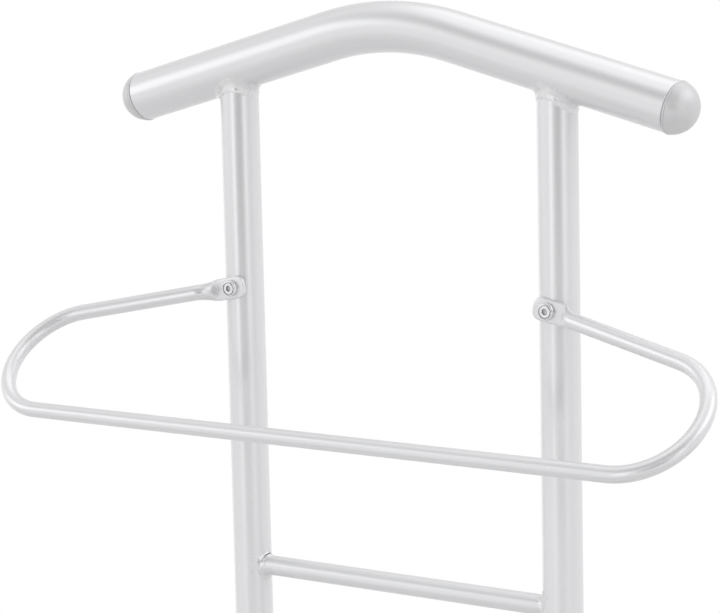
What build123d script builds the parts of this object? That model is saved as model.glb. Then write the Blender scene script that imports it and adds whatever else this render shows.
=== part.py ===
from build123d import *
import math
import os

# A valet stand of painted steel tube, in millimetres.
# The floor is Z = 0, the front faces -Y, and the axes of both posts lie in the plane Y = 0.

# The two posts
stand_height = 1080.0  # floor to the crown of the hanger bar
post_spacing = 238.0  # between the axes of the posts
post_diameter = 25.0
post_wall = 1.2
post_split_drop = 520.0  # crown down to the line where each post comes apart

# The hanger bar across the top
hanger_diameter = 32.0
hanger_wall = 1.5
hanger_half_span = 197.5  # middle to the end of the tube
hanger_slope = 14.8  # degrees that each half falls from level
tube_bend_radius = 178.0  # one bending tool shapes the hanger bar and both feet
tube_end_edge = 0.4  # chamfer on the ends of the hanger bar and of the feet

# The plugs that close the ends of the hanger bar and the feet
cap_lip = 0.9
cap_height = 14.0
cap_edge = 0.5  # chamfer where the lip meets the end of the tube
cap_wall = 2.5
cap_stem_length = 16.0
cap_stem_clearance = 0.6
cap_ring_clearance = 0.05
cap_ring_height = 1.2
cap_ring_count = 3

# The thin rails welded between posts and between feet
rail_diameter = 13.0
rail_wall = 1.0
crossbar_drop = 370.0  # crown down to the axis of the crossbar
shoe_rail_spacing = 170.0

# The trouser bar, one bent tube with flattened ends
trouser_diameter = 10.0
trouser_wall = 1.0
trouser_half_width = 253.5  # middle to the axis at its widest
trouser_reach = 106.8  # post axis forward to the axis of the front run
trouser_dip = 73.0  # screws down to the axis of the front run
trouser_bend_radius = 43.3
trouser_screw_drop = 184.5  # crown down to the screws
tab_height = 14.2
tab_thickness = 2.2
tab_tip_length = 10.4  # screw out to the rounded tip
tab_root_length = 11.5  # screw out to the crease
tab_corner_radius = 5.0
tab_tilt = 11.0  # degrees that the tab falls on its way out
neck_length = 12.0  # crease to the round tube
neck_forward = 9.6  # how far the tube stands in front of the tab
neck_rise = 1.0  # how far the tube stands above the line of the tab
neck_face_angle = 124.0  # part of the round that grows out of each flat face

# Button head screws and the rivet nuts that take them
screw_diameter = 6.0
screw_length = 16.0
screw_head_diameter = 10.5
screw_head_height = 3.3
screw_face_diameter = 7.4
screw_socket_width = 4.0
screw_socket_depth = 2.2
screw_hole_clearance = 0.4
thread_clearance = 0.1
rivet_nut_diameter = 9.0
rivet_nut_length = 14.0
rivet_nut_bulge_diameter = 12.0
rivet_nut_bulge_length = 3.0
rivet_nut_clearance = 0.1

# The sleeves that join the upper and lower posts
sleeve_wall = 2.0
sleeve_length = 100.0
sleeve_clearance = 0.15
sleeve_screw_spacing = 56.0

# The two arched feet
foot_diameter = 32.0
foot_wall = 1.5
foot_half_span = 139.0  # post axis to the end of the tube
foot_slope = 10.0  # degrees that each half falls from level
foot_ground_clearance = 5.0  # under the ends of the tube

# The bolts that draw the posts down on the feet
bolt_diameter = 8.0
bolt_length = 34.0
bolt_head_diameter = 13.0
bolt_head_height = 8.0
bolt_socket_width = 6.0
bolt_socket_depth = 4.0
bolt_hole_clearance = 0.5
bolt_head_clearance = 0.3
bolt_access_clearance = 3.0
end_nut_length = 24.0
end_nut_clearance = 0.1
end_nut_gap = 0.6  # above the crown of the foot

# The glides under the feet
glide_diameter = 22.0
glide_cap_gap = 3.0  # between the pad and the stem of the plug in the tube
glide_stem_diameter = 8.0
glide_stem_height = 8.0  # above the underside of the tube
glide_hole_clearance = 0.2
glide_edge = 1.0

# Fillet welds
post_weld_size = 4.0
rail_weld_size = 2.0

# Places that follow from the sizes
post_x = post_spacing / 2
post_radius = post_diameter / 2
post_bore = post_diameter - 2 * post_wall
split_z = stand_height - post_split_drop
crossbar_z = stand_height - crossbar_drop
screw_z = stand_height - trouser_screw_drop
hanger_crown_z = stand_height - hanger_diameter / 2
upwards = (Align.CENTER, Align.CENTER, Align.MIN)
downwards = (Align.CENTER, Align.CENTER, Align.MAX)
sides = {"left": -1, "right": 1}
ends = {"front": -1, "rear": 1}


def bend_rise(slope):
    """Height that a bend takes off the corner of two straight runs."""
    return tube_bend_radius * (1 / math.cos(math.radians(slope)) - 1)


def arch_height(crown_z, slope, distance):
    """Height of the axis of an arched tube on its straight run."""
    return crown_z + bend_rise(slope) - distance * math.tan(math.radians(slope))


def arch_path(plane, half_span, slope, crown_z):
    """Axis of an arched tube, from end to end in an upright plane."""
    end_z = arch_height(crown_z, slope, half_span)
    corner_z = arch_height(crown_z, slope, 0)
    corners = [(-half_span, end_z), (0, corner_z), (half_span, end_z)]
    return plane * FilletPolyline(*corners, radius=tube_bend_radius)


def bar(path, diameter):
    """Solid round bar along a path."""
    section = Plane(origin=path @ 0, z_dir=path % 0) * Circle(diameter / 2)
    return sweep(section, path=path)


def tube(path, diameter, wall):
    """Round tube along a path, open at both ends."""
    return bar(path, diameter) - bar(path, diameter - 2 * wall)


def ease_ends(shape):
    """Takes the sharp outer edge off both ends of a round tube."""
    rims = [face.outer_wire().edge() for face in shape.faces().filter_by(GeomType.PLANE)]
    return chamfer(rims, tube_end_edge)


def weld(branch, main, size):
    """Fillet bead round the seam where a branch meets a main tube."""
    joined = branch + main
    seam = new_edges(branch, main, combined=joined)
    return fillet(seam, size) - branch - main


def hexagon_socket(width, depth):
    """Hexagon hole that opens upwards at Z = 0."""
    outline = RegularPolygon(width / 2, 6, major_radius=False)
    return extrude(outline, -depth)


def dome_arc(base_radius, base_height, top_radius, top_height):
    """Half profile of a round dome, from its base up to its flat top or its tip on the axis."""
    rise = top_height - base_height
    centre = base_height + (rise ** 2 - base_radius ** 2 + top_radius ** 2) / (2 * rise)
    ball_radius = math.hypot(base_radius, base_height - centre)
    start = math.degrees(math.atan2(base_height - centre, base_radius))
    stop = math.degrees(math.atan2(top_height - centre, top_radius))
    return CenterArc((0, centre), ball_radius, start, stop - start)


def end_cap(bore, diameter):
    """Domed plug: its seam is at Z = 0, its dome rises and its ringed stem goes down."""
    radius = diameter / 2
    stem_radius = bore / 2 - cap_stem_clearance
    ring_radius = bore / 2 - cap_ring_clearance
    inner_radius = stem_radius - cap_wall
    outline = [(inner_radius, 0), (inner_radius, -cap_stem_length), (stem_radius, -cap_stem_length)]
    for number in range(1, cap_ring_count + 1):
        ring_bottom = cap_stem_length * (number / (cap_ring_count + 1) - 1)
        ring_top = ring_bottom + cap_ring_height
        outline += [(stem_radius, ring_bottom), (ring_radius, ring_bottom)]
        outline += [(ring_radius, ring_top), (stem_radius, ring_top)]
    outline += [(stem_radius, 0), (radius - cap_edge, 0), (radius, cap_edge), (radius, cap_lip)]
    profile = [
        *Polyline(*outline).edges(),
        dome_arc(radius, cap_lip, 0, cap_height),
        Line((0, cap_height), (0, cap_height - cap_wall)),
        dome_arc(inner_radius, 0, 0, cap_height - cap_wall),
    ]
    return revolve(Plane.XZ * make_face(profile), Axis.Z)


def button_screw():
    """Button head screw: the head stands on Z = 0 and the shank goes down."""
    head_radius = screw_head_diameter / 2
    face_radius = screw_face_diameter / 2
    profile = [
        dome_arc(head_radius, 0, face_radius, screw_head_height),
        *Polyline((face_radius, screw_head_height), (0, screw_head_height), (0, 0), (head_radius, 0)).edges(),
    ]
    head = revolve(Plane.XZ * make_face(profile), Axis.Z)
    head -= Pos(0, 0, screw_head_height) * hexagon_socket(screw_socket_width, screw_socket_depth)
    return head + Cylinder(screw_diameter / 2, screw_length, align=downwards)


def rivet_nut(seat_radius, inner_radius):
    """Rivet nut from its flat seat at Z = 0 down, with the bulge that grips the inside of a tube.

    The axis of the tube runs along Y, at seat_radius under the seat."""
    body = Cylinder(rivet_nut_diameter / 2, rivet_nut_length, align=downwards)
    inside = Rot(90, 0, 0) * Cylinder(inner_radius, 2 * rivet_nut_bulge_diameter)
    bulge_depth = seat_radius - inner_radius + rivet_nut_bulge_length
    bulge = Cylinder(rivet_nut_bulge_diameter / 2, bulge_depth, align=downwards)
    bulge &= Pos(0, 0, -seat_radius) * inside
    thread = Cylinder(screw_diameter / 2 + thread_clearance, rivet_nut_length, align=downwards)
    return body + bulge - thread


def front_seat(x, distance, z):
    """Plane that faces forward at a distance in front of a post's axis."""
    return Plane(origin=(x, -distance, z), x_dir=(1, 0, 0), z_dir=(0, -1, 0))


def rear_seat(x, distance, z):
    """Plane that faces back at a distance behind a post's axis."""
    return Plane(origin=(x, distance, z), x_dir=(-1, 0, 0), z_dir=(0, 1, 0))


def drill(seat, diameter, depth):
    """Round hole from a seat inwards, with a little run-out in front of it."""
    run_out = post_wall
    hole = Cylinder(diameter / 2, depth + run_out, align=downwards)
    return seat * (Pos(0, 0, run_out) * hole)


nodes = {}

# The hanger bar, its posts and their welds
hanger_plane = Plane(origin=(0, 0, 0), x_dir=(1, 0, 0), z_dir=(0, -1, 0))
hanger_path = arch_path(hanger_plane, hanger_half_span, hanger_slope, hanger_crown_z)
hanger_solid = bar(hanger_path, hanger_diameter)
hanger_bore = hanger_diameter - 2 * hanger_wall
hanger_post_z = arch_height(hanger_crown_z, hanger_slope, post_x)
nodes["hanger_bar"] = ease_ends(tube(hanger_path, hanger_diameter, hanger_wall))

hanger_ends = {"left": (hanger_path @ 0, -(hanger_path % 0)), "right": (hanger_path @ 1, hanger_path % 1)}
for side, (place, direction) in hanger_ends.items():
    seat = Plane(origin=place, z_dir=direction)
    nodes[f"hanger_cap_{side}"] = seat * end_cap(hanger_bore, hanger_diameter)

sleeve_radius = post_bore / 2 - sleeve_clearance
sleeve_screw_heights = [split_z - sleeve_screw_spacing / 2, split_z + sleeve_screw_spacing / 2]
nut_hole = rivet_nut_diameter + 2 * rivet_nut_clearance
screw_hole = screw_diameter + 2 * screw_hole_clearance

for side, sign in sides.items():
    x = sign * post_x
    post_path = Line((x, 0, split_z), (x, 0, hanger_post_z))
    post = tube(post_path, post_diameter, post_wall) - hanger_solid
    post -= drill(front_seat(x, post_radius, screw_z), nut_hole, post_radius)
    post -= drill(rear_seat(x, post_radius, sleeve_screw_heights[1]), screw_hole, post_radius)
    nodes[f"upper_post_{side}"] = post
    nodes[f"hanger_weld_{side}"] = weld(bar(post_path, post_diameter), hanger_solid, post_weld_size)

# The crossbar between the upper posts
crossbar_path = Line((-post_x, 0, crossbar_z), (post_x, 0, crossbar_z))
crossbar = tube(crossbar_path, rail_diameter, rail_wall)
for side, sign in sides.items():
    x = sign * post_x
    post_solid = bar(Line((x, 0, split_z), (x, 0, hanger_post_z)), post_diameter)
    crossbar -= post_solid
    half_crossbar = bar(Line((0, 0, crossbar_z), (x, 0, crossbar_z)), rail_diameter)
    nodes[f"crossbar_weld_{side}"] = weld(half_crossbar, post_solid, rail_weld_size)
nodes["crossbar"] = crossbar

# The trouser bar lies in a sloping plane: U runs along X and V runs back from the front run
tab_fall = math.radians(tab_tilt)
root_x = post_x + (tab_root_length + neck_length) * math.cos(tab_fall)
root_y = -post_radius - tab_thickness / 2 - neck_forward
root_z = screw_z - (tab_root_length + neck_length) * math.sin(tab_fall) + neck_rise
front_z = screw_z - trouser_dip
loop_back = Vector(0, root_y + trouser_reach, root_z - front_z)
loop_plane = Plane(
    origin=(0, -trouser_reach, front_z),
    x_dir=(1, 0, 0),
    z_dir=Vector(1, 0, 0).cross(loop_back),
)
root_v = loop_back.length
bend_u = trouser_half_width - trouser_bend_radius
to_bend = Vector(bend_u - root_x, trouser_bend_radius - root_v)
splay = math.atan2(to_bend.Y, to_bend.X) + math.asin(trouser_bend_radius / to_bend.length)
tangent_u = bend_u - trouser_bend_radius * math.sin(splay)
tangent_v = trouser_bend_radius + trouser_bend_radius * math.cos(splay)
bend_turn = 180 + math.degrees(splay)
loop_path = loop_plane * Wire([
    Line((-root_x, root_v), (-tangent_u, tangent_v)),
    CenterArc((-bend_u, trouser_bend_radius), trouser_bend_radius, 270 - bend_turn, bend_turn),
    Line((-bend_u, 0), (bend_u, 0)),
    CenterArc((bend_u, trouser_bend_radius), trouser_bend_radius, 270, bend_turn),
    Line((tangent_u, tangent_v), (root_x, root_v)),
])

# Each end of the tube is pressed flat into a tab, and a neck joins the tab to the round tube
tab_plane = Plane(
    origin=(post_x, -post_radius, screw_z),
    x_dir=(math.cos(tab_fall), 0, -math.sin(tab_fall)),
    z_dir=(0, -1, 0),
)
tab_middle = (tab_root_length - tab_tip_length) / 2
tab_outline = Pos(tab_middle, 0) * Rectangle(tab_root_length + tab_tip_length, tab_height)
tip_corners = tab_outline.vertices().sort_by(Axis.X)[:2]
tab = tab_plane * extrude(fillet(tip_corners, tab_corner_radius), tab_thickness)

crease = Plane(
    origin=tab_plane.from_local_coords(Vector(tab_root_length, 0, tab_thickness / 2)),
    x_dir=tab_plane.y_dir,
    z_dir=-tab_plane.x_dir,
)
inward = loop_path % 1
upward = tab_plane.y_dir - inward * tab_plane.y_dir.dot(inward)
round_end = Plane(origin=loop_path @ 1, x_dir=upward, z_dir=inward)
edge_angle = 180 - neck_face_angle
flat_section = crease * Rectangle(tab_height, tab_thickness)
round_arcs = []
arc_start = -edge_angle / 2
for arc_angle in [edge_angle, neck_face_angle, edge_angle, neck_face_angle]:
    round_arcs.append(CenterArc((0, 0), trouser_diameter / 2, arc_start, arc_angle))
    arc_start += arc_angle
round_section = round_end * make_face(round_arcs)
neck = loft([round_section, flat_section])

trouser_bar = bar(loop_path, trouser_diameter)
for end_piece in [tab, neck]:
    trouser_bar += end_piece
    trouser_bar += mirror(end_piece, about=Plane.YZ)
trouser_bar -= bar(loop_path, trouser_diameter - 2 * trouser_wall)

trouser_screws = []
trouser_nuts = []
for sign in sides.values():
    x = sign * post_x
    head_seat = front_seat(x, post_radius + tab_thickness, screw_z)
    trouser_bar -= drill(head_seat, screw_hole, tab_thickness)
    trouser_screws.append(head_seat * button_screw())
    trouser_nuts.append(front_seat(x, post_radius, screw_z) * rivet_nut(post_radius, post_bore / 2))
nodes["trouser_bar"] = trouser_bar
nodes["trouser_bar_screws"] = Compound(children=trouser_screws)
nodes["trouser_bar_rivet_nuts"] = Compound(children=trouser_nuts)

# The two arched feet, the lower posts that stand on them and the sleeves that join the posts
foot_radius = foot_diameter / 2
foot_bore = foot_diameter - 2 * foot_wall
foot_end_z = foot_radius + foot_ground_clearance
foot_crown_z = foot_end_z - bend_rise(foot_slope) + foot_half_span * math.tan(math.radians(foot_slope))
bolt_seat_z = foot_crown_z + math.sqrt((foot_bore / 2) ** 2 - (bolt_head_diameter / 2) ** 2)
bolt_seat_z -= bolt_head_clearance
end_nut_z = foot_crown_z + foot_radius + end_nut_gap
glide_y = foot_half_span - cap_stem_length - glide_cap_gap - glide_diameter / 2
glide_axis_z = arch_height(foot_crown_z, foot_slope, glide_y)
glide_under_z = glide_axis_z - foot_radius / math.cos(math.radians(foot_slope))
shoe_rail_z = arch_height(foot_crown_z, foot_slope, shoe_rail_spacing / 2)
nut_seat = math.sqrt(sleeve_radius ** 2 - (rivet_nut_diameter / 2) ** 2)

shoe_rails = {}
for end, end_sign in ends.items():
    rail_y = end_sign * shoe_rail_spacing / 2
    rail_path = Line((-post_x, rail_y, shoe_rail_z), (post_x, rail_y, shoe_rail_z))
    shoe_rails[end] = tube(rail_path, rail_diameter, rail_wall)

sleeve_screws = []
sleeve_nuts = []
foot_bolts = []
end_nuts = []
for side, sign in sides.items():
    x = sign * post_x
    foot_plane = Plane(origin=(x, 0, 0), x_dir=(0, 1, 0), z_dir=(1, 0, 0))
    foot_path = arch_path(foot_plane, foot_half_span, foot_slope, foot_crown_z)
    foot_solid = bar(foot_path, foot_diameter)
    foot = ease_ends(tube(foot_path, foot_diameter, foot_wall))
    bolt_hole = Cylinder(bolt_diameter / 2 + bolt_hole_clearance, foot_diameter, align=upwards)
    access_hole = Cylinder(bolt_head_diameter / 2 + bolt_access_clearance, foot_diameter, align=downwards)
    foot -= Pos(x, 0, foot_crown_z) * bolt_hole
    foot -= Pos(x, 0, foot_crown_z) * access_hole

    foot_ends = {"front": (foot_path @ 0, -(foot_path % 0)), "rear": (foot_path @ 1, foot_path % 1)}
    for end, (place, direction) in foot_ends.items():
        seat = Plane(origin=place, x_dir=(1, 0, 0), z_dir=direction)
        nodes[f"foot_cap_{end}_{side}"] = seat * end_cap(foot_bore, foot_diameter)

    for end, end_sign in ends.items():
        place = Pos(x, end_sign * glide_y, 0)
        pad = Cylinder(glide_diameter / 2, glide_axis_z, align=upwards)
        pad = chamfer(pad.edges().group_by(Axis.Z)[0], glide_edge)
        stem_top = glide_under_z + glide_stem_height
        stem = Pos(0, 0, glide_edge) * Cylinder(glide_stem_diameter / 2, stem_top - glide_edge, align=upwards)
        foot -= place * Cylinder(glide_stem_diameter / 2 + glide_hole_clearance, glide_axis_z, align=upwards)
        nodes[f"glide_{end}_{side}"] = place * pad - foot_solid + place * stem

        shoe_rails[end] -= foot_solid
        rail_y = end_sign * shoe_rail_spacing / 2
        half_rail = bar(Line((0, rail_y, shoe_rail_z), (x, rail_y, shoe_rail_z)), rail_diameter)
        nodes[f"shoe_rail_weld_{end}_{side}"] = weld(half_rail, foot_solid, rail_weld_size)
    nodes[f"foot_{side}"] = foot

    lower_post = tube(Line((x, 0, foot_crown_z), (x, 0, split_z)), post_diameter, post_wall) - foot_solid
    lower_post -= drill(rear_seat(x, post_radius, sleeve_screw_heights[0]), screw_hole, post_radius)
    nodes[f"lower_post_{side}"] = lower_post

    sleeve_path = Line((x, 0, split_z - sleeve_length / 2), (x, 0, split_z + sleeve_length / 2))
    sleeve = tube(sleeve_path, 2 * sleeve_radius, sleeve_wall)
    for height in sleeve_screw_heights:
        sleeve -= drill(rear_seat(x, post_radius, height), nut_hole, post_radius)
        sleeve_screws.append(rear_seat(x, post_radius, height) * button_screw())
        sleeve_nuts.append(rear_seat(x, nut_seat, height) * rivet_nut(nut_seat, sleeve_radius - sleeve_wall))
    nodes[f"post_sleeve_{side}"] = sleeve

    shank = Cylinder(bolt_diameter / 2, bolt_length, align=upwards)
    head = Cylinder(bolt_head_diameter / 2, bolt_head_height, align=downwards)
    socket = Rot(180, 0, 0) * hexagon_socket(bolt_socket_width, bolt_socket_depth)
    bolt = shank + head - Pos(0, 0, -bolt_head_height) * socket
    foot_bolts.append(Pos(x, 0, bolt_seat_z) * bolt)

    end_nut = Cylinder(post_bore / 2 - end_nut_clearance, end_nut_length, align=upwards)
    end_nut -= Cylinder(bolt_diameter / 2 + thread_clearance, end_nut_length, align=upwards)
    end_nuts.append(Pos(x, 0, end_nut_z) * end_nut)

for end, rail in shoe_rails.items():
    nodes[f"shoe_rail_{end}"] = rail
nodes["post_sleeve_screws"] = Compound(children=sleeve_screws)
nodes["post_sleeve_rivet_nuts"] = Compound(children=sleeve_nuts)
nodes["foot_bolts"] = Compound(children=foot_bolts)
nodes["post_end_nuts"] = Compound(children=end_nuts)

os.makedirs("parts", exist_ok=True)
for name, shape in nodes.items():
    export_step(shape, f"parts/{name}.step")
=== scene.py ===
import math
import random
import bpy
from mathutils import Matrix, Vector, noise


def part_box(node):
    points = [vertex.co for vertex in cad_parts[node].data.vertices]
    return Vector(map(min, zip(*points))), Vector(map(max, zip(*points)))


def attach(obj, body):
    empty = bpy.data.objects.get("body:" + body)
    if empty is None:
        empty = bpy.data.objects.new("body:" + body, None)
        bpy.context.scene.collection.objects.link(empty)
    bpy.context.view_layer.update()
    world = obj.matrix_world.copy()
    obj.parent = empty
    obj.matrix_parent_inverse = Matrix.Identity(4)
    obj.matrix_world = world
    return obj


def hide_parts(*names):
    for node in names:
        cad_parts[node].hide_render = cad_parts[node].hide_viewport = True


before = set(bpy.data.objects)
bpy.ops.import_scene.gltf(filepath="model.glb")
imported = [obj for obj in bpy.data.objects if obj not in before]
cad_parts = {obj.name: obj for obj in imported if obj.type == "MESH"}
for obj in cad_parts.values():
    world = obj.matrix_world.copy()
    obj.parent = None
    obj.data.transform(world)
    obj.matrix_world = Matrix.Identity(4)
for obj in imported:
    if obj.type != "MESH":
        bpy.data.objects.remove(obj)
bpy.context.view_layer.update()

# Hanger bar
# A thick steel tube with one smooth bend in the middle, welded on top of the posts.
# It has the same satin aluminium-coloured spray coat as every tube of the stand.
paint_colour = (0.80, 0.80, 0.81, 1)
paint_flake_colour = (0.72, 0.72, 0.735, 1)
paint_flake_size = 0.0004
paint_flake_detail = 2
paint_cloud_size = 0.055
paint_cloud_detail = 4
paint_peel_size = 0.0022
paint_peel_detail = 1
paint_peel_height = 0.0003
paint_metal_share = 0.55
paint_roughness_range = 0.03
paint_clear_coat = 0.3
paint_clear_coat_roughness = 0.10
tube_roughness = 0.31
tube_peel = 0.05
noise_low = 0.3
noise_high = 0.7


def noise_texture(tree, size, detail):
    """Soft noise in the stand's own space, with patches of about the given size."""
    place = tree.nodes.new("ShaderNodeTexCoord")
    texture = tree.nodes.new("ShaderNodeTexNoise")
    texture.inputs["Scale"].default_value = 1 / size
    texture.inputs["Detail"].default_value = detail
    tree.links.new(place.outputs["Object"], texture.inputs["Vector"])
    return texture.outputs["Fac"]


def vary_number(tree, fac, low, high, socket):
    """Drives a shader socket between two numbers."""
    spread = tree.nodes.new("ShaderNodeMapRange")
    spread.inputs["From Min"].default_value = noise_low
    spread.inputs["From Max"].default_value = noise_high
    spread.inputs["To Min"].default_value = low
    spread.inputs["To Max"].default_value = high
    tree.links.new(fac, spread.inputs["Value"])
    tree.links.new(spread.outputs["Result"], socket)


def vary_colour(tree, fac, first, second, socket):
    """Drives a shader socket between two colours."""
    mix = tree.nodes.new("ShaderNodeMix")
    mix.data_type = "RGBA"
    mix.inputs["A"].default_value = first
    mix.inputs["B"].default_value = second
    tree.links.new(fac, mix.inputs["Factor"])
    tree.links.new(mix.outputs["Result"], socket)


def raise_grain(tree, fac, strength, height, socket):
    """Turns noise into a fine relief on a surface."""
    bump = tree.nodes.new("ShaderNodeBump")
    bump.inputs["Strength"].default_value = strength
    bump.inputs["Distance"].default_value = height
    tree.links.new(fac, bump.inputs["Height"])
    tree.links.new(bump.outputs["Normal"], socket)


def new_finish(name):
    """Starts a finish, and gives its material, its node tree and its shader."""
    material = bpy.data.materials.new(name)
    material.use_nodes = True
    return material, material.node_tree, material.node_tree.nodes["Principled BSDF"]


def silver_paint(name, roughest, peel_strength):
    """Sprayed metallic coat: fine flakes, a faint orange peel and a clear top layer."""
    material, tree, coat = new_finish(name)
    coat.inputs["Metallic"].default_value = paint_metal_share
    coat.inputs["Coat Weight"].default_value = paint_clear_coat
    coat.inputs["Coat Roughness"].default_value = paint_clear_coat_roughness
    flakes = noise_texture(tree, paint_flake_size, paint_flake_detail)
    vary_colour(tree, flakes, paint_flake_colour, paint_colour, coat.inputs["Base Color"])
    clouds = noise_texture(tree, paint_cloud_size, paint_cloud_detail)
    smoothest = roughest - paint_roughness_range
    vary_number(tree, clouds, smoothest, roughest, coat.inputs["Roughness"])
    peel = noise_texture(tree, paint_peel_size, paint_peel_detail)
    raise_grain(tree, peel, peel_strength, paint_peel_height, coat.inputs["Normal"])
    return material


def finish_nodes(material, *names):
    """Gives pieces of the frame their finished material."""
    for name in names:
        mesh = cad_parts[name].data
        mesh.materials.clear()
        mesh.materials.append(material)


tube_paint = silver_paint("silver_paint", tube_roughness, tube_peel)
finish_nodes(tube_paint, "hanger_bar")

# End plugs of the hanger bar
# Domed plugs of light grey plastic, moulded with a fine matt grain and a rounded lip. They are
# pressed into the tube as far as the lip, the left one tight and the right one not quite home.
hanger_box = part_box("hanger_bar")
hanger_radius = (hanger_box[1].y - hanger_box[0].y) / 2
hanger_slope = math.radians(14.8)
hanger_bend_radius = 0.178
hanger_half_span = 0.1975
hanger_crown = hanger_box[1].z - hanger_radius
hanger_corner = hanger_crown + hanger_bend_radius * (1 / math.cos(hanger_slope) - 1)
plug_stem_radius = 0.0139
plug_stem_wall = 0.0025
plug_stem_length = 0.016
plug_gap_widths = {"left": 0.00015, "right": 0.0006}
plug_gap_depth = 0.0012
plug_lip_height = 0.0017
plug_lip_proud = 0.0004
plug_lip_round = 0.0004
plug_lip_steps = 8
plug_line_width = 0.0004
plug_line_depth = 0.0002
plug_height = 0.0150
plug_tip_radius = 0.0002
plug_points = 96
plug_dome_steps = 20
plug_crease = 35
plug_colour = (0.68, 0.68, 0.69, 1)
plug_shade = (0.64, 0.64, 0.65, 1)
plug_metal_share = 0.45
plug_roughness = (0.38, 0.46)
plug_cloud_size = 0.006
plug_cloud_detail = 3
plug_grain_size = 0.0005
plug_grain_detail = 1
plug_grain_strength = 0.10
plug_grain_height = 0.0001
sides = {"left": -1, "right": 1}


def grey_plastic(name):
    """Moulded plastic with a fine matt grain."""
    material, tree, plastic = new_finish(name)
    plastic.inputs["Metallic"].default_value = plug_metal_share
    clouds = noise_texture(tree, plug_cloud_size, plug_cloud_detail)
    vary_colour(tree, clouds, plug_shade, plug_colour, plastic.inputs["Base Color"])
    vary_number(tree, clouds, *plug_roughness, plastic.inputs["Roughness"])
    grain = noise_texture(tree, plug_grain_size, plug_grain_detail)
    raise_grain(tree, grain, plug_grain_strength, plug_grain_height, plastic.inputs["Normal"])
    return material


def add_piece(name, shape, material, crease, node):
    """Makes a smooth mesh that stands for a node of the frame and moves with the stand."""
    vertices, faces = shape
    mesh = bpy.data.meshes.new(name)
    mesh.from_pydata(vertices, [], faces)
    mesh.materials.append(material)
    mesh.shade_smooth()
    mesh.set_sharp_from_angle(angle=math.radians(crease))
    piece = bpy.data.objects.new(name, mesh)
    bpy.context.collection.objects.link(piece)
    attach(piece, "root")
    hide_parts(node)
    return piece


def faces_between(ring_count, ring_size, closed):
    """Four-sided faces between rings of points, closed into a hoop or capped at both ends."""
    faces = []
    for ring in range(ring_count if closed else ring_count - 1):
        here = ring * ring_size
        there = (ring + 1) % ring_count * ring_size
        for step in range(ring_size):
            ahead = (step + 1) % ring_size
            faces.append((here + step, here + ahead, there + ahead, there + step))
    if not closed:
        last_ring = (ring_count - 1) * ring_size
        faces.append(tuple(range(ring_size))[::-1])
        faces.append(tuple(range(last_ring, last_ring + ring_size)))
    return faces


def round_rings(profile, points):
    """Round rings of a turned shape, from the radii and heights of its profile."""
    return [([radius] * points, height) for radius, height in profile]


def turned_shape(rings, seat, facing):
    """Points and faces of a shape about an axis, from rings of radii at given heights."""
    across = facing.orthogonal().normalized()
    beside = facing.cross(across)
    points = len(rings[0][0])
    vertices = []
    for radii, height in rings:
        for step, radius in enumerate(radii):
            turn = math.tau * step / points
            flat = across * math.cos(turn) + beside * math.sin(turn)
            vertices.append(seat + flat * radius + facing * height)
    return vertices, faces_between(len(rings), points, False)


def end_plug(name, radius, gap_width, seat, outward, node):
    """Makes the plug in the end of a tube, with a narrow gap between the tube and the lip."""
    gap_radius = radius - plug_gap_depth
    profile = [(plug_stem_radius - plug_stem_wall, -plug_stem_length)]
    profile += [(plug_stem_radius, -plug_stem_length), (plug_stem_radius, 0)]
    profile += [(gap_radius, 0), (gap_radius, gap_width)]
    lip_middle = (gap_width + plug_lip_height) / 2
    lip_half = (plug_lip_height - gap_width) / 2
    for step in range(plug_lip_steps + 1):
        angle = math.radians(-90 + 180 * step / plug_lip_steps)
        lip_radius = radius + plug_lip_proud - plug_lip_round * (1 - math.cos(angle))
        profile.append((lip_radius, lip_middle + lip_half * math.sin(angle)))
    dome_radius = radius + plug_lip_proud - plug_lip_round
    dome_foot = plug_lip_height + plug_line_width
    profile.append((dome_radius - plug_line_depth, plug_lip_height + plug_line_width / 2))
    rise = plug_height - dome_foot
    ball_middle = dome_foot + (rise ** 2 - dome_radius ** 2) / (2 * rise)
    ball_radius = plug_height - ball_middle
    start = math.asin((dome_foot - ball_middle) / ball_radius)
    for step in range(plug_dome_steps):
        angle = start + (0.5 * math.pi - start) * step / plug_dome_steps
        profile.append((ball_radius * math.cos(angle), ball_middle + ball_radius * math.sin(angle)))
    profile.append((plug_tip_radius, plug_height))
    shape = turned_shape(round_rings(profile, plug_points), seat, outward)
    add_piece(name, shape, plug_plastic, plug_crease, node)


plug_plastic = grey_plastic("grey_plastic")
for side, sign in sides.items():
    end_height = hanger_corner - hanger_half_span * math.tan(hanger_slope)
    seat = Vector((sign * hanger_half_span, 0, end_height))
    outward = Vector((sign * math.cos(hanger_slope), 0, -math.sin(hanger_slope)))
    node = f"hanger_cap_{side}"
    end_plug(f"hanger_plug_{side}", hanger_radius, plug_gap_widths[side], seat, outward, node)

# Upper posts
# Round steel tubes, cut to the curve of the hanger bar and painted with it.
# A rivet nut in the front wall of each takes the screw of the trouser bar.
post_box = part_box("upper_post_right")
post_radius = (post_box[1].x - post_box[0].x) / 2
post_x = (post_box[1].x + post_box[0].x) / 2
finish_nodes(tube_paint, "upper_post_left", "upper_post_right")

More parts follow.
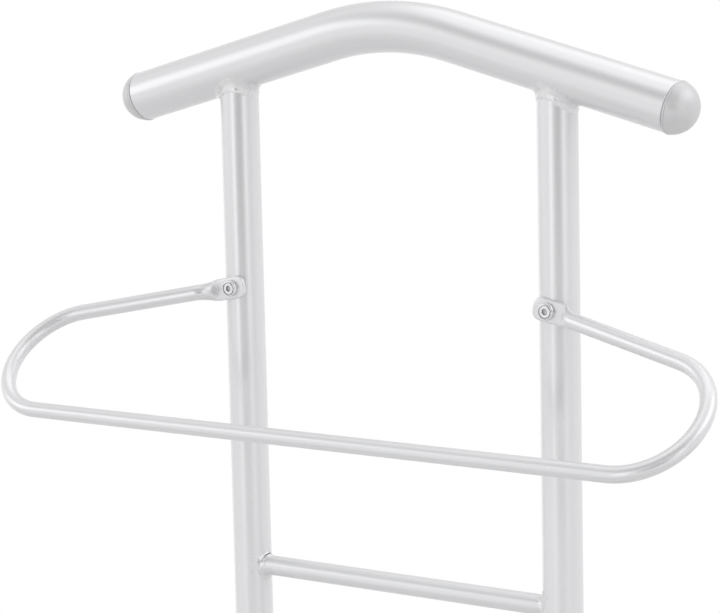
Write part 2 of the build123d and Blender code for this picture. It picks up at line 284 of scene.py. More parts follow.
# Welds under the hanger bar
# Hand-laid steel beads round the tops of the posts, dressed and painted over with the frame.
# They run out smoothly on the hanger bar and end in an uneven rim on the posts.
hanger_bead_legs = (0.0066, 0.0050)
hanger_bead_lumps = (0.0032, 0.00030)
hanger_bead_seed = 3.1
bead_steps_round = 200
bead_steps_across = 18
bead_crease = 60
bead_wander_pace = 2.2
bead_edge_pace = 6
bead_leg_wander = 0.2
bead_leg_edge = 0.1
bead_spread_wander = 0.15
bead_side_narrowing = 0.55
bead_fullness = 0.14
bead_rim_place = 0.16
bead_rim_width = 0.10
bead_rim_height = 0.7
bead_rim_unevenness = 0.8
bead_swelling = 0.2
bead_edge_sink = 0.00006
bead_edge_pitch = 5
bead_root_depth = 0.0004
weld_roughness = 0.24
weld_peel = 0.06
weld_paint = silver_paint("silver_paint_on_welds", weld_roughness, weld_peel)


def weld_bead(joint, away, branch_radius, main_axis, main_radius, legs, lumps, seed):
    """Points and faces of an uneven bead where a branch tube stands on a main tube.

    The two axes meet at the joint, and the branch runs away from there. The legs are the lengths
    of the bead along the branch and along the main tube. The lumps are their spacing and height."""
    branch_leg, main_leg = legs
    lump_spacing, lump_height = lumps
    away = away.normalized()
    main_axis = main_axis.normalized()
    across = main_axis.cross(away).normalized()
    along = away.cross(across)
    steep = away - main_axis * away.dot(main_axis)

    def on_main(radial, distance):
        """Point of the main tube's surface at a distance from the branch's axis, and its normal."""
        start = radial * distance
        start -= main_axis * start.dot(main_axis)
        half = start.dot(steep) / steep.dot(steep)
        rest = (start.dot(start) - main_radius ** 2) / steep.dot(steep)
        climb = -half + math.sqrt(max(half * half - rest, 0))
        return joint + radial * distance + away * climb, (start + steep * climb).normalized()

    def uneven(turn, pace):
        """Noise that goes once round the bead and meets itself."""
        return noise.noise(Vector((pace * math.cos(turn), pace * math.sin(turn), seed)))

    vertices = []
    for step in range(bead_steps_round):
        turn = math.tau * step / bead_steps_round
        radial = across * math.cos(turn) + along * math.sin(turn)
        seam, seam_normal = on_main(radial, branch_radius)
        wander = uneven(turn, bead_wander_pace)
        edge = uneven(turn, bead_edge_pace)
        leg = branch_leg * (1 + bead_leg_wander * wander + bead_leg_edge * edge)
        spread = main_leg * (1 - bead_side_narrowing * abs(seam_normal.dot(radial)))
        spread *= 1 + bead_spread_wander * wander
        top, top_normal = on_main(radial, branch_radius + spread)
        toe = seam + away * leg
        control = seam + (0.5 * (toe + top) - seam) * bead_fullness
        rim_height = bead_rim_height + bead_rim_unevenness * edge
        for part in range(bead_steps_across):
            t = part / (bead_steps_across - 1)
            point = toe * (1 - t) ** 2 + control * 2 * t * (1 - t) + top * t * t
            normal = (radial * (1 - t) + top_normal * t).normalized()
            lump = noise.noise((point - joint) / lump_spacing + Vector((seed, 0, 0)))
            rim = math.exp(-((t - bead_rim_place) / bead_rim_width) ** 2) * rim_height
            fade = math.sin(math.pi * t)
            lift = lump_height * (fade * (bead_swelling + lump) + rim)
            lift -= bead_edge_sink * (1 - min(fade * bead_edge_pitch, 1))
            vertices.append(point + normal * lift)
        vertices.append(seam - radial * bead_root_depth - seam_normal * bead_root_depth)
    return vertices, faces_between(bead_steps_round, bead_steps_across + 1, True)


for side, sign in sides.items():
    axis_height = hanger_corner - post_x * math.tan(hanger_slope)
    joint = Vector((sign * post_x, 0, axis_height))
    hanger_axis = Vector((math.cos(hanger_slope), 0, -sign * math.sin(hanger_slope)))
    bead = weld_bead(
        joint, Vector((0, 0, -1)), post_radius, hanger_axis, hanger_radius,
        hanger_bead_legs, hanger_bead_lumps, hanger_bead_seed + sign,
    )
    node = f"hanger_weld_{side}"
    add_piece(f"hanger_bead_{side}", bead, weld_paint, bead_crease, node)

# Crossbar
# A thin steel tube between the posts that keeps them parallel, butted against their curve.
# It is welded all round at both ends, with drops of spatter; a dark thread paints the shade of a
# gap.
crossbar_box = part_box("crossbar")
crossbar_radius = (crossbar_box[1].y - crossbar_box[0].y) / 2
crossbar_height = (crossbar_box[1].z + crossbar_box[0].z) / 2
crossbar_bead_legs = (0.0034, 0.0032)
crossbar_bead_lumps = (0.0017, 0.00028)
crossbar_bead_seed = 7.3
spatter_count = 16
spatter_seed = 5
spatter_turns = (-78, 20)
spatter_heights = (-0.006, 0.012)
spatter_radii = (0.00030, 0.0008)
spatter_flatness = 0.7
spatter_rows = 6
spatter_columns = 12
# A thin dark thread along the top of the left bead is painted shade of the gap at that joint.
gap_shade_angles = (66, 132)
gap_shade_row = 9
gap_shade_radius = 0.00035
gap_shade_points = 10
gap_shade_taper = 0.02
gap_shade_colour = (0.10, 0.10, 0.105, 1)
gap_shade_darker = (0.05, 0.05, 0.055, 1)
gap_shade_roughness = (0.5, 0.7)
gap_shade_cloud_size = 0.0008
gap_shade_cloud_detail = 3
finish_nodes(tube_paint, "crossbar")


def spatter_drop(centre, normal, radius):
    """Points and faces of a small flattened drop that sits on a surface."""
    side = normal.orthogonal().normalized()
    other = normal.cross(side)
    vertices = []
    for row in range(spatter_rows):
        tilt = math.pi * (spatter_rows - row - 0.5) / spatter_rows
        for column in range(spatter_columns):
            turn = math.tau * column / spatter_columns
            flat = side * math.cos(turn) + other * math.sin(turn)
            point = centre + flat * radius * math.sin(tilt)
            vertices.append(point + normal * spatter_flatness * radius * math.cos(tilt))
    return vertices, faces_between(spatter_rows, spatter_columns, False)


def gap_shade_thread(path):
    """Points and faces of a thin dark thread, painted shade of a gap, tapering at both ends of its
    path.
    """
    vertices = []
    for step, middle in enumerate(path):
        ahead = path[min(step + 1, len(path) - 1)] - path[max(step - 1, 0)]
        side = ahead.orthogonal().normalized()
        other = ahead.normalized().cross(side)
        fullness = max(math.sin(math.pi * step / (len(path) - 1)), gap_shade_taper)
        thickness = gap_shade_radius * math.sqrt(fullness)
        for point in range(gap_shade_points):
            turn = math.tau * point / gap_shade_points
            flat = side * math.cos(turn) + other * math.sin(turn)
            vertices.append(middle + flat * thickness)
    return vertices, faces_between(len(path), gap_shade_points, False)


def painted_gap_shade(name):
    """Dark material for the painted shade of a narrow gap beside a weld."""
    material, tree, scale = new_finish(name)
    clouds = noise_texture(tree, gap_shade_cloud_size, gap_shade_cloud_detail)
    vary_colour(tree, clouds, gap_shade_darker, gap_shade_colour, scale.inputs["Base Color"])
    vary_number(tree, clouds, *gap_shade_roughness, scale.inputs["Roughness"])
    return material


# Painted shade: a dark thread laid on the left crossbar bead where the joint's gap would be shaded.
weld_gap_shade = painted_gap_shade("weld_gap_shade")
for side, sign in sides.items():
    joint = Vector((sign * post_x, 0, crossbar_height))
    vertices, faces = weld_bead(
        joint, Vector((-sign, 0, 0)), crossbar_radius, Vector((0, 0, 1)), post_radius,
        crossbar_bead_legs, crossbar_bead_lumps, crossbar_bead_seed + sign,
    )
    node = f"crossbar_weld_{side}"
    if side == "left":
        first, last = (round(bead_steps_round * angle / 360) for angle in gap_shade_angles)
        row_length = bead_steps_across + 1
        path = [vertices[step * row_length + gap_shade_row] for step in range(first, last)]
        thread = gap_shade_thread(path)
        add_piece("crossbar_weld_gap_shade", thread, weld_gap_shade, bead_crease, node)
    scatter = random.Random(spatter_seed + sign)
    for drop in range(spatter_count):
        turn = math.radians(scatter.uniform(*spatter_turns))
        normal = Vector((-sign * math.cos(turn), math.sin(turn), 0))
        height = crossbar_height + scatter.uniform(*spatter_heights)
        centre = Vector((sign * post_x, 0, height)) + normal * post_radius
        drop_vertices, drop_faces = spatter_drop(centre, normal, scatter.uniform(*spatter_radii))
        faces += [tuple(len(vertices) + corner for corner in face) for face in drop_faces]
        vertices += drop_vertices
    bead = (vertices, faces)
    add_piece(f"crossbar_bead_{side}", bead, weld_paint, bead_crease, node)

# Trouser bar
# One thin steel tube bent into a sloping loop. Its two ends are pressed flat into tabs, which
# are punched for a screw and leave a sharp crease where the press stopped.
bar_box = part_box("trouser_bar")
screws_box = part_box("trouser_bar_screws")
bar_radius = 0.005
bar_bend_radius = 0.0433
bar_half_width = bar_box[1].x - bar_radius
bar_front = bar_box[0].y + bar_radius
bar_low = bar_box[0].z + bar_radius
bar_crease = 32
screw_height = (screws_box[1].z + screws_box[0].z) / 2
tab_half_height = 0.0071
tab_half_thickness = 0.0011
tab_swell = 0.0004
tab_tip_length = 0.0104
tab_tip_insets = (0.0, 0.0002, 0.0005, 0.0010, 0.0016, 0.0024, 0.0034, 0.0044, 0.0050)
tab_tip_rounding = 0.0010
tab_tip_thinning = 0.75
tab_root_length = 0.0115
tab_corner_radius = 0.005
tab_tilt = math.radians(11)
neck_length = 0.012
neck_forward = 0.0096
neck_rise = 0.001
neck_lead_out = 0.80
neck_lead_forward = 0.60
neck_lead_share = 0.33
neck_follow_share = 0.36
neck_turn_pace = 3
neck_steps = 16
section_points = 64
section_edge_points = 5
bend_steps = 44

tab_out = Vector((math.cos(tab_tilt), 0, -math.sin(tab_tilt)))
tab_up = Vector((math.sin(tab_tilt), 0, math.cos(tab_tilt)))
tab_front = Vector((0, -1, 0))
tab_middle = Vector((post_x, -post_radius - tab_half_thickness, screw_height))
crease_point = tab_middle + tab_out * tab_root_length
neck_end = crease_point + tab_out * neck_length + tab_front * neck_forward
neck_end += Vector((0, 0, neck_rise))


def bar_section(flatness, half_height):
    """Outline between the round tube and the pressed tab, as distances up and forward."""
    half = section_points / 2
    flat_height = half_height - tab_half_thickness
    outline = []
    for step in range(section_points):
        place = step if step <= half else step - section_points
        angle = math.tau * place / section_points
        if abs(place) <= section_edge_points:
            edge = 0.5 * math.pi * place / section_edge_points
            flat_up = flat_height + tab_half_thickness * math.cos(edge)
            flat_forward = tab_half_thickness * math.sin(edge)
        elif abs(place) >= half - section_edge_points:
            edge = 0.5 * math.pi * (half - abs(place)) / section_edge_points
            flat_up = -flat_height - tab_half_thickness * math.cos(edge)
            flat_forward = math.copysign(tab_half_thickness * math.sin(edge), place)
        else:
            share = (abs(place) - section_edge_points) / (half - 2 * section_edge_points)
            flat_up = flat_height * (1 - 2 * share)
            swell = tab_swell * 4 * share * (1 - share) if place > 0 else 0
            flat_forward = math.copysign(tab_half_thickness + swell, place)
        up = flat_up * flatness + bar_radius * math.cos(angle) * (1 - flatness)
        forward = flat_forward * flatness + bar_radius * math.sin(angle) * (1 - flatness)
        outline.append((up, forward))
    return outline


# The stations run from the tip of the right tab to the middle of the front run.
stations = []
for inset in tab_tip_insets:
    corner_reach = math.sqrt(tab_corner_radius ** 2 - (tab_corner_radius - inset) ** 2)
    corner = tab_corner_radius - corner_reach
    worn = 1 - min(inset / tab_tip_rounding, 1)
    thinning = math.sqrt(1 - tab_tip_thinning * worn * worn)
    outline = bar_section(1, tab_half_height - corner)
    section = [(up, forward * thinning) for up, forward in outline]
    stations.append((tab_middle - tab_out * (tab_tip_length - inset), tab_out, section))
stations.append((tab_middle, tab_out, bar_section(1, tab_half_height)))
stations.append((crease_point, tab_out, bar_section(1, tab_half_height)))

# The arm runs straight from the neck to the bend, splayed so that it meets the bend smoothly.
loop_back = Vector((0, neck_end.y - bar_front, neck_end.z - bar_low))
loop_depth = loop_back.length
loop_back.normalize()
bend_x = bar_half_width - bar_bend_radius
to_bend = Vector((bend_x - neck_end.x, bar_bend_radius - loop_depth))
splay = math.atan2(to_bend.y, to_bend.x) + math.asin(bar_bend_radius / to_bend.length)
bend_middle = Vector((bend_x, bar_front, bar_low)) + loop_back * bar_bend_radius
bend_start = bend_middle - Vector((1, 0, 0)) * bar_bend_radius * math.sin(splay)
bend_start += loop_back * bar_bend_radius * math.cos(splay)
arm_out = (bend_start - neck_end).normalized()

neck_span = (neck_end - crease_point).length
neck_heading = tab_out * neck_lead_out + tab_front * neck_lead_forward
neck_lead = crease_point + neck_heading * neck_span * neck_lead_share
neck_follow = neck_end - arm_out * neck_span * neck_follow_share
for step in range(1, neck_steps + 1):
    t = step / neck_steps
    left = 1 - t
    centre = crease_point * left ** 3 + neck_lead * 3 * t * left * left
    centre += neck_follow * 3 * t * t * left + neck_end * t ** 3
    heading = (neck_lead - crease_point) * left * left + (neck_follow - neck_lead) * 2 * t * left
    heading += (neck_end - neck_follow) * t * t
    turned = min(t * neck_turn_pace, 1)
    heading = (tab_out * (1 - turned) + heading.normalized() * turned).normalized()
    section = bar_section(1 - math.sin(0.5 * math.pi * t), tab_half_height)
    stations.append((centre, heading, section))

round_section = bar_section(0, tab_half_height)
for step in range(bend_steps + 1):
    angle = 0.5 * math.pi + splay - (math.pi + splay) * step / bend_steps
    outward = Vector((1, 0, 0)) * math.cos(angle) + loop_back * math.sin(angle)
    heading = Vector((1, 0, 0)) * math.sin(angle) - loop_back * math.cos(angle)
    stations.append((bend_middle + outward * bar_bend_radius, heading, round_section))
stations.append((Vector((0, bar_front, bar_low)), Vector((-1, 0, 0)), round_section))

rings = []
upward = tab_up
for centre, heading, section in stations:
    upward = (upward - heading * upward.dot(heading)).normalized()
    forward_way = heading.cross(upward)
    rings.append([centre + upward * up + forward_way * forward for up, forward in section])
for ring in rings[-2::-1]:
    rings.append([Vector((-point.x, point.y, point.z)) for point in ring])
vertices = [point for ring in rings for point in ring]
loop = (vertices, faces_between(len(rings), section_points, False))
add_piece("trouser_loop", loop, tube_paint, bar_crease, "trouser_bar")

# Screws of the trouser bar
# Zinc plated steel screws with round heads, turned with a ring groove round the hexagon socket.
# Each goes through a tab into the rivet nut behind it. Groove and socket are darker: painted shade.
screw_head_radius = 0.0054
screw_side_height = 0.0014
screw_edge_radius = 0.0014
screw_edge_angle = math.radians(80)
screw_edge_steps = 6
screw_fine_edge = 0.0002
screw_groove = (0.0042, 0.0037)
screw_groove_depth = 0.0009
screw_groove_slope = 0.0001
screw_face_height = 0.0032
screw_land_radius = 0.0027
screw_socket_half = 0.0018
screw_socket_depth = 0.0017
screw_socket_mouth = 1.06
screw_socket_bevel = 0.00015
screw_socket_tip = 0.3
screw_socket_tip_depth = 0.0003
screw_shank_radius = 0.003
screw_tip_radius = 0.0026
screw_tip_bevel = 0.0005
screw_length = 0.016
screw_points = 48
screw_crease = 30
zinc_colour = (0.84, 0.84, 0.85, 1)
zinc_shade = (0.70, 0.70, 0.72, 1)
zinc_roughness = (0.18, 0.30)
# The recess colours are darker than the zinc: painted shade in the groove and the socket.
recess_painted_shade_colour = (0.66, 0.66, 0.67, 1)
recess_painted_shade_darker = (0.54, 0.54, 0.55, 1)
recess_roughness = (0.40, 0.55)
zinc_cloud_size = 0.0012
zinc_cloud_detail = 4
zinc_grain_size = 0.0003
zinc_grain_detail = 2
zinc_grain_strength = 0.12
zinc_grain_height = 0.00008


def zinc_plate(name, shade, colour, roughness):
    """Zinc plate on turned steel, a little uneven."""
    material, tree, metal = new_finish(name)
    metal.inputs["Metallic"].default_value = 1
    clouds = noise_texture(tree, zinc_cloud_size, zinc_cloud_detail)
    vary_colour(tree, clouds, shade, colour, metal.inputs["Base Color"])
    vary_number(tree, clouds, *roughness, metal.inputs["Roughness"])
    grain = noise_texture(tree, zinc_grain_size, zinc_grain_detail)
    raise_grain(tree, grain, zinc_grain_strength, zinc_grain_height, metal.inputs["Normal"])
    return material


def socket_screw_rings():
    """Rings of a round head screw that stands at height zero, and which of them are recessed."""
    profile = [(screw_tip_radius, -screw_length)]
    profile += [(screw_shank_radius, screw_tip_bevel - screw_length), (screw_shank_radius, 0)]
    profile += [(screw_head_radius - screw_fine_edge, 0), (screw_head_radius, screw_fine_edge)]
    for step in range(screw_edge_steps + 1):
        angle = screw_edge_angle * step / screw_edge_steps
        radius = screw_head_radius - screw_edge_radius * (1 - math.cos(angle))
        profile.append((radius, screw_side_height + screw_edge_radius * math.sin(angle)))
    groove_outside, groove_inside = screw_groove
    groove_start = len(profile)
    groove_rim = screw_face_height - screw_fine_edge
    groove_floor = screw_face_height - screw_groove_depth
    profile += [(groove_outside, groove_rim), (groove_outside - screw_groove_slope, groove_floor)]
    profile += [(groove_inside + screw_groove_slope, groove_floor), (groove_inside, groove_rim)]
    profile += [(groove_inside - screw_fine_edge, screw_face_height)]
    profile += [(screw_land_radius, screw_face_height)]
    rings = round_rings(profile, screw_points)
    hexagon = []
    for step in range(screw_points):
        corner = (math.tau * step / screw_points + math.pi / 6) % (math.pi / 3) - math.pi / 6
        hexagon.append(screw_socket_half / math.cos(corner))
    socket_floor = screw_face_height - screw_socket_depth
    sunk = [(screw_socket_mouth, screw_face_height), (1.0, screw_face_height - screw_socket_bevel)]
    sunk += [(1.0, socket_floor), (screw_socket_tip, socket_floor - screw_socket_tip_depth)]
    for scale, height in sunk:
        rings.append(([radius * scale for radius in hexagon], height))
    recessed = {groove_start, groove_start + 1, groove_start + 2}
    recessed |= {len(rings) - 3, len(rings) - 2, len(rings) - 1}
    return rings, recessed


def add_screws(name, seats, node):
    """Makes one piece of all the screws that stand for a node of the frame."""
    rings, recessed = socket_screw_rings()
    vertices, faces = [], []
    for seat, facing in seats:
        screw_vertices, screw_faces = turned_shape(rings, seat, facing)
        faces += [tuple(len(vertices) + corner for corner in face) for face in screw_faces]
        vertices += screw_vertices
    screws = (vertices, faces)
    piece = add_piece(name, screws, screw_zinc, screw_crease, node)
    # Groove and socket faces take this second, darker material, which is painted shade in the
    # recesses.
    piece.data.materials.append(screw_recess_painted_shade)
    faces_each = len(faces) // len(seats)
    for number, face in enumerate(piece.data.polygons):
        if number % faces_each // screw_points in recessed:
            face.material_index = 1


screw_zinc = zinc_plate("zinc_plate", zinc_shade, zinc_colour, zinc_roughness)
# Darker zinc for the groove and socket: painted shade in these recesses, with a rougher surface.
screw_recess_painted_shade = zinc_plate("zinc_recess_painted_shade", recess_painted_shade_darker, recess_painted_shade_colour, recess_roughness)
tab_face = -post_radius - 2 * tab_half_thickness - 0.5 * tab_swell
bar_screw_seats = []
for sign in sides.values():
    bar_screw_seats.append((Vector((sign * post_x, tab_face, screw_height)), tab_front))
add_screws("trouser_bar_socket_screws", bar_screw_seats, "trouser_bar_screws")

# Lower posts, sleeves and their screws
# The posts come apart at mid height. Steel sleeves inside join them, and screws at the back go
# through the posts into rivet nuts in the sleeves.
steel_colour = (0.42, 0.42, 0.43, 1)
steel_shade = (0.34, 0.34, 0.35, 1)
steel_roughness = (0.36, 0.5)
steel_cloud_size = 0.008
steel_cloud_detail = 5
steel_grain_size = 0.0006
steel_grain_detail = 2
steel_grain_strength = 0.1
steel_grain_height = 0.0001
sleeve_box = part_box("post_sleeve_screws")
sleeve_head_radius = 0.00525


def plain_steel(name):
    """Bare drawn steel with a dull, cloudy surface."""
    material, tree, metal = new_finish(name)
    metal.inputs["Metallic"].default_value = 1
    clouds = noise_texture(tree, steel_cloud_size, steel_cloud_detail)
    vary_colour(tree, clouds, steel_shade, steel_colour, metal.inputs["Base Color"])
    vary_number(tree, clouds, *steel_roughness, metal.inputs["Roughness"])
    grain = noise_texture(tree, steel_grain_size, steel_grain_detail)
    raise_grain(tree, grain, steel_grain_strength, steel_grain_height, metal.inputs["Normal"])
    return material


inner_steel = plain_steel("inner_steel")
finish_nodes(tube_paint, "lower_post_left", "lower_post_right")
finish_nodes(inner_steel, "post_sleeve_left", "post_sleeve_right")
finish_nodes(inner_steel, "trouser_bar_rivet_nuts", "post_sleeve_rivet_nuts")
sleeve_low = sleeve_box[0].z + sleeve_head_radius
sleeve_high = sleeve_box[1].z - sleeve_head_radius
sleeve_seats = []
for sign in sides.values():
    for height in (sleeve_low, sleeve_high):
        sleeve_seats.append((Vector((sign * post_x, post_radius, height)), -tab_front))
add_screws("post_sleeve_socket_screws", sleeve_seats, "post_sleeve_screws")

# Feet, with their plugs and glides
# Two arched tubes bent like the hanger bar, closed with the same plugs. They stand on plastic
# glides, and a bolt from below draws each post down on its foot.
foot_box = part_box("foot_right")
foot_radius = (foot_box[1].x - foot_box[0].x) / 2
foot_slope = math.radians(10)
foot_half_span = 0.139
foot_plug_gap = 0.0004
foot_ground_gap = 0.005
foot_end_height = foot_radius + foot_ground_gap
foot_ends = {"front": -1, "rear": 1}
glide_rim = 0.0016
glide_rim_steps = 7
glide_hollow_depth = 0.0005
glide_hollow_inset = 0.004
glide_hollow_edge = 0.003
glide_sole_height = 0.0042
glide_sole_edge = 0.0003
glide_step = 0.0007
glide_wall_height = 0.0165
glide_stem_radius = 0.004
finish_nodes(tube_paint, "foot_left", "foot_right")


def glide(name, node):
    """Makes a moulded glide with a rounded sole, a narrower wall and a stem inside the tube."""
    lowest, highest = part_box(node)
    radius = (highest.x - lowest.x) / 2
    wall_radius = radius - glide_step
    wall_foot = glide_sole_height + glide_sole_edge
    profile = [(radius - glide_hollow_inset, glide_hollow_depth), (radius - glide_hollow_edge, 0)]
    for step in range(glide_rim_steps + 1):
        angle = math.radians(90) * step / glide_rim_steps
        rim_radius = radius - glide_rim * (1 - math.sin(angle))
        profile.append((rim_radius, glide_rim * (1 - math.cos(angle))))
    profile += [(radius, glide_sole_height), (radius - glide_sole_edge, wall_foot)]
    profile += [(wall_radius, wall_foot), (wall_radius, glide_wall_height)]
    profile += [(glide_stem_radius, glide_wall_height), (glide_stem_radius, highest.z)]
    seat = Vector(((lowest.x + highest.x) / 2, (lowest.y + highest.y) / 2, 0))
    shape = turned_shape(round_rings(profile, plug_points), seat, Vector((0, 0, 1)))
    add_piece(name, shape, plug_plastic, plug_crease, node)


for end, end_sign in foot_ends.items():
    for side, sign in sides.items():
        seat = Vector((sign * post_x, end_sign * foot_half_span, foot_end_height))
        outward = Vector((0, end_sign * math.cos(foot_slope), -math.sin(foot_slope)))
        node = f"foot_cap_{end}_{side}"
        end_plug(f"foot_plug_{end}_{side}", foot_radius, foot_plug_gap, seat, outward, node)
        glide(f"glide_pad_{end}_{side}", f"glide_{end}_{side}")
finish_nodes(screw_zinc, "foot_bolts")
finish_nodes(inner_steel, "post_end_nuts")

# Shoe rails
# Two thin steel tubes across the feet that carry shoes and keep the feet apart.
# They are welded to the inner sides of the feet with small beads.
rail_bead_legs = (0.0034, 0.0032)
rail_bead_lumps = (0.0017, 0.00026)
rail_bead_seed = 11.7
rail_bead_seed_step = 4
for end, end_sign in foot_ends.items():
    finish_nodes(tube_paint, f"shoe_rail_{end}")
    rail_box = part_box(f"shoe_rail_{end}")
    rail_radius = (rail_box[1].z - rail_box[0].z) / 2
    rail_middle = (rail_box[0] + rail_box[1]) / 2
    for side, sign in sides.items():
        joint = Vector((sign * post_x, rail_middle.y, rail_middle.z))
        foot_axis = Vector((0, math.cos(foot_slope), -end_sign * math.sin(foot_slope)))
        bead = weld_bead(
            joint, Vector((-sign, 0, 0)), rail_radius, foot_axis, foot_radius,
            rail_bead_legs, rail_bead_lumps, rail_bead_seed + sign + rail_bead_seed_step * end_sign,
        )
        name = f"shoe_rail_bead_{end}_{side}"
        node = f"shoe_rail_weld_{end}_{side}"
        add_piece(name, bead, weld_paint, bead_crease, node)

# Floor
# A plain pale studio floor under the stand, which keeps its shadow.
# It runs out into the white of the room, to the eye and in the gloss of the tubes.
floor_radius = 2.2
floor_fade_start = 1.3
floor_fade_end = 2.156
floor_colour = (0.73, 0.73, 0.73, 1)
floor_roughness = 0.9
floor_corners = 128
floor_mesh = bpy.data.meshes.new("floor")
floor_ring = []
for corner in range(floor_corners):
    turn = math.tau * corner / floor_corners
    floor_ring.append((floor_radius * math.cos(turn), floor_radius * math.sin(turn), 0))
floor_mesh.from_pydata(floor_ring, [], [tuple(range(floor_corners))])
floor = bpy.data.objects.new("floor", floor_mesh)
bpy.context.collection.objects.link(floor)
floor_material, floor_tree, pale = new_finish("pale_floor")
pale.inputs["Base Color"].default_value = floor_colour
pale.inputs["Roughness"].default_value = floor_roughness
white = floor_tree.nodes.new("ShaderNodeEmission")
white.inputs["Strength"].default_value = 1
place = floor_tree.nodes.new("ShaderNodeTexCoord")
distance = floor_tree.nodes.new("ShaderNodeVectorMath")
distance.operation = "LENGTH"
floor_tree.links.new(place.outputs["Object"], distance.inputs[0])
fade = floor_tree.nodes.new("ShaderNodeMapRange")
fade.interpolation_type = "SMOOTHSTEP"
fade.inputs["From Min"].default_value = floor_fade_start
fade.inputs["From Max"].default_value = floor_fade_end
floor_tree.links.new(distance.outputs["Value"], fade.inputs["Value"])
ray = floor_tree.nodes.new("ShaderNodeLightPath")
looked = floor_tree.nodes.new("ShaderNodeMath")
looked.operation = "MAXIMUM"
floor_tree.links.new(ray.outputs["Is Camera Ray"], looked.inputs[0])
floor_tree.links.new(ray.outputs["Is Glossy Ray"], looked.inputs[1])
seen = floor_tree.nodes.new("ShaderNodeMath")
seen.operation = "MULTIPLY"
floor_tree.links.new(looked.outputs["Value"], seen.inputs[0])
floor_tree.links.new(fade.outputs["Result"], seen.inputs[1])
mix = floor_tree.nodes.new("ShaderNodeMixShader")
floor_tree.links.new(seen.outputs["Value"], mix.inputs["Fac"])
floor_tree.links.new(pale.outputs["BSDF"], mix.inputs[1])
floor_tree.links.new(white.outputs["Emission"], mix.inputs[2])
floor_tree.links.new(mix.outputs["Shader"], floor_tree.nodes["Material Output"].inputs["Surface"])
floor_mesh.materials.append(floor_material)

# Studio light
# A white room with soft boxes, and with darker gaps between them, round the stand.
# The tubes mirror them all, while the eye sees plain white behind the stand.
room_level = 0.95
panel_edge = 0.3
# Each panel has its azimuth from the front to the right, its elevation, half its width and half
# its height in degrees, and the light that it adds to the room or takes from it.
panels = {
    "overhead": (-165, 68, 58, 21, 0.52),
    "overhead at the front": (-60, 72, 50, 9, 0.42),
    "box at the front left": (-58, 15, 23, 14, 0.70),
    "strip at the front": (-9, 6, 7, 16, 0.95),
    "gap round the camera": (29, 3, 21, 10, -0.83),
    "gap above the front": (15, 42, 50, 20, -0.49),
    "gap high at the left": (-52, 45, 18, 13, -0.22),
    "strip at the right": (62, 6, 8, 15, 0.60),
    "gap at the right": (92, 4, 14, 16, -0.10),
    "box above the right": (112, 38, 42, 18, 0.75),
    "box low at the left": (-120, -6, 22, 13, 0.20),
    "gap high behind the left": (-128, 38, 32, 18, -0.15),
    "bright floor in front": (-5, -14, 60, 6, 0.14),
    "gap low at the left": (-70, -34, 40, 14, -0.65),
}


def towards(azimuth, elevation):
    """Direction from the stand, with the azimuth from the front towards the right."""
    azimuth = math.radians(azimuth)
    elevation = math.radians(elevation)
    level = math.cos(elevation)
    return Vector((math.sin(azimuth) * level, -math.cos(azimuth) * level, math.sin(elevation)))


world = bpy.data.worlds.new("studio")
bpy.context.scene.world = world
world.use_nodes = True
room_tree = world.node_tree
room_tree.nodes.clear()


def number_node(operation, *inputs):
    """Adds a sum to the room's light, with its inputs as sockets or plain numbers."""
    node = room_tree.nodes.new("ShaderNodeMath")
    node.operation = operation
    for socket, value in zip(node.inputs, inputs):
        if isinstance(value, (int, float)):
            socket.default_value = value
        else:
            room_tree.links.new(value, socket)
    return node.outputs["Value"]


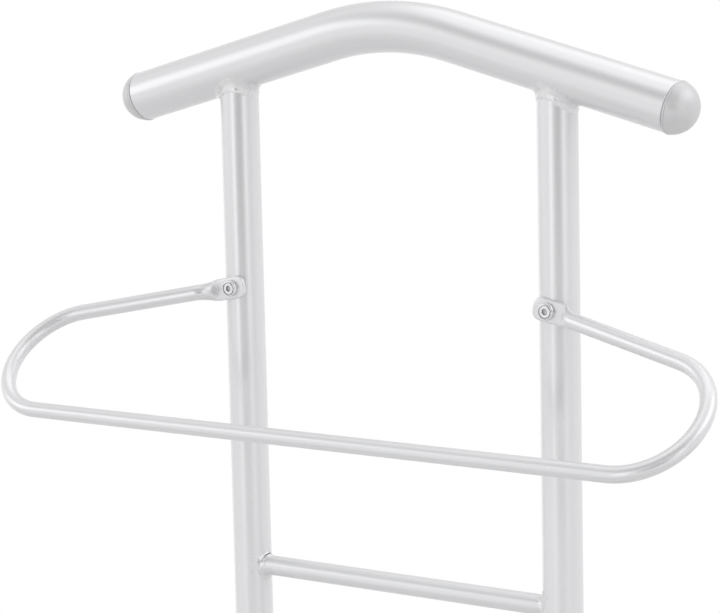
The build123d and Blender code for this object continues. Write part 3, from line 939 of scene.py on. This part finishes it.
place = room_tree.nodes.new("ShaderNodeTexCoord")
parts = room_tree.nodes.new("ShaderNodeSeparateXYZ")
room_tree.links.new(place.outputs["Generated"], parts.inputs["Vector"])
height_angle = number_node("ARCSINE", parts.outputs["Z"])
flat = room_tree.nodes.new("ShaderNodeVectorMath")
flat.operation = "MULTIPLY"
flat.inputs[1].default_value = (1, 1, 0)
room_tree.links.new(place.outputs["Generated"], flat.inputs[0])
level = room_tree.nodes.new("ShaderNodeVectorMath")
level.operation = "NORMALIZE"
room_tree.links.new(flat.outputs["Vector"], level.inputs[0])
total = room_level
for azimuth, elevation, half_width, half_height, strength in panels.values():
    facing = room_tree.nodes.new("ShaderNodeVectorMath")
    facing.operation = "DOT_PRODUCT"
    facing.inputs[1].default_value = towards(azimuth, 0)
    room_tree.links.new(level.outputs["Vector"], facing.inputs[0])
    beside = number_node("ARCCOSINE", facing.outputs["Value"])
    beside = number_node("DIVIDE", beside, math.radians(half_width))
    above = number_node("SUBTRACT", height_angle, math.radians(elevation))
    above = number_node("DIVIDE", above, math.radians(half_height))
    beside_square = number_node("MULTIPLY", beside, beside)
    above_square = number_node("MULTIPLY", above, above)
    square = number_node("ADD", beside_square, above_square)
    edge = room_tree.nodes.new("ShaderNodeMapRange")
    edge.interpolation_type = "SMOOTHSTEP"
    edge.inputs["From Min"].default_value = 1 + panel_edge
    edge.inputs["From Max"].default_value = 1 - panel_edge
    edge.inputs["To Max"].default_value = strength
    room_tree.links.new(number_node("SQRT", square), edge.inputs["Value"])
    total = number_node("ADD", total, edge.outputs["Result"])
room = room_tree.nodes.new("ShaderNodeBackground")
room.inputs["Color"].default_value = (1, 1, 1, 1)
room_tree.links.new(total, room.inputs["Strength"])
white = room_tree.nodes.new("ShaderNodeBackground")
white.inputs["Color"].default_value = (1, 1, 1, 1)
white.inputs["Strength"].default_value = 1
ray = room_tree.nodes.new("ShaderNodeLightPath")
mix = room_tree.nodes.new("ShaderNodeMixShader")
room_tree.links.new(ray.outputs["Is Camera Ray"], mix.inputs["Fac"])
room_tree.links.new(room.outputs["Background"], mix.inputs[1])
room_tree.links.new(white.outputs["Background"], mix.inputs[2])
output = room_tree.nodes.new("ShaderNodeOutputWorld")
room_tree.links.new(mix.outputs["Shader"], output.inputs["Surface"])

# Camera
# A long lens at the right of the stand, a little above the hanger bar.
# It looks down at the upper part of the stand and is rolled by about a degree.
camera_azimuth = 35.0
camera_elevation = 8.12
camera_roll = math.radians(-1.31)
camera_distance = 1.65379
focal_pixels = 2607.07
picture_width = 720
film_width = 36
look_aside = -0.02764
look_drop = 0.1927
look_at = Vector((look_aside, 0, hanger_box[1].z - look_drop))
camera = bpy.data.objects.new("camera", bpy.data.cameras.new("camera"))
bpy.context.collection.objects.link(camera)
back = towards(camera_azimuth, camera_elevation)
level_right = Vector((0, 0, 1)).cross(back).normalized()
level_up = back.cross(level_right)
camera_right = level_right * math.cos(camera_roll) + level_up * math.sin(camera_roll)
camera_up = level_up * math.cos(camera_roll) - level_right * math.sin(camera_roll)
turn = Matrix((camera_right, camera_up, back)).transposed().to_4x4()
camera.matrix_world = Matrix.Translation(look_at + back * camera_distance) @ turn
camera.data.sensor_width = film_width
camera.data.lens = focal_pixels / picture_width * film_width
bpy.context.scene.camera = camera
bpy.context.scene.view_settings.view_transform = "Standard"
